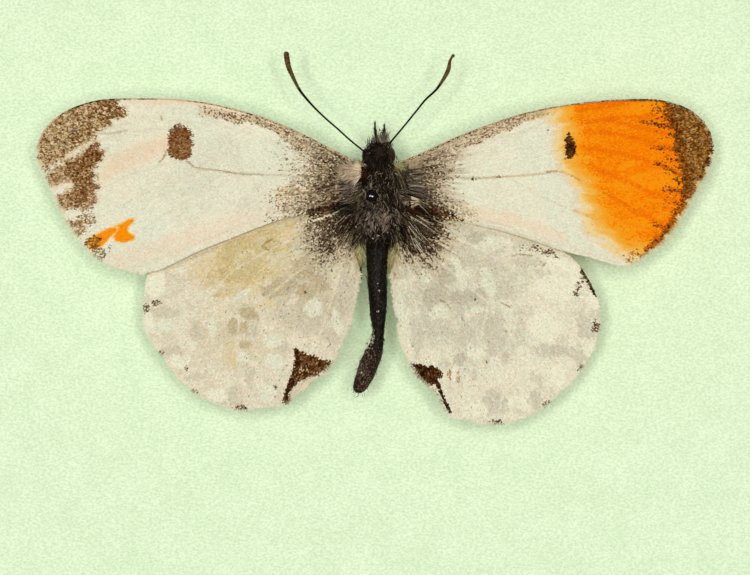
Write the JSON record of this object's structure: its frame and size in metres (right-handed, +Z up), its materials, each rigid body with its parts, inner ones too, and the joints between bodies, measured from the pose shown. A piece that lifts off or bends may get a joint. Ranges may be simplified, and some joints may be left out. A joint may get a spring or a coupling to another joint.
{
  "type": "pinned butterfly specimen",
  "caption": "Dried butterfly with spread wings, one side cream and brown and the other orange-tipped, set on an upright pin over a paper-faced cork slab.",
  "frame": {"origin": "centre of the cork slab's underside", "axes": "+X across the wings towards the orange-tipped wing, +Y towards the antennae, +Z up along the pin"},
  "size_m": [0.056, 0.044, 0.0248],
  "materials": {
    "cork": "rough",
    "lining_paper": "matte",
    "blackened_steel": "satin",
    "black_enamel": "gloss",
    "dark_cuticle": "satin",
    "eye": "satin",
    "grey_brown_fur": "matte",
    "cream_tuft": "matte",
    "cream_wing": "matte",
    "orange_tipped_wing": "matte",
    "buff_hindwing": "matte",
    "pale_hindwing": "matte"
  },
  "bodies": {
    "root": {"cork_block": "cork", "lining_paper": "lining_paper", "pin_shaft": "blackened_steel", "pin_head": "black_enamel", "thorax": "grey_brown_fur", "head": "grey_brown_fur", "left_eye": "eye", "right_eye": "eye", "left_antenna": "dark_cuticle", "right_antenna": "dark_cuticle", "left_palp": "grey_brown_fur", "right_palp": "grey_brown_fur", "proboscis": "dark_cuticle", "abdomen": "dark_cuticle", "left_tegula": "cream_tuft", "right_tegula": "grey_brown_fur", "left_foreleg": "dark_cuticle", "left_midleg": "dark_cuticle", "left_hindleg": "dark_cuticle", "right_foreleg": "dark_cuticle", "right_midleg": "dark_cuticle", "right_hindleg": "dark_cuticle", "left_forewing": "cream_wing", "right_forewing": "orange_tipped_wing", "left_hindwing": "buff_hindwing", "right_hindwing": "pale_hindwing"}
  },
  "joints": []
}
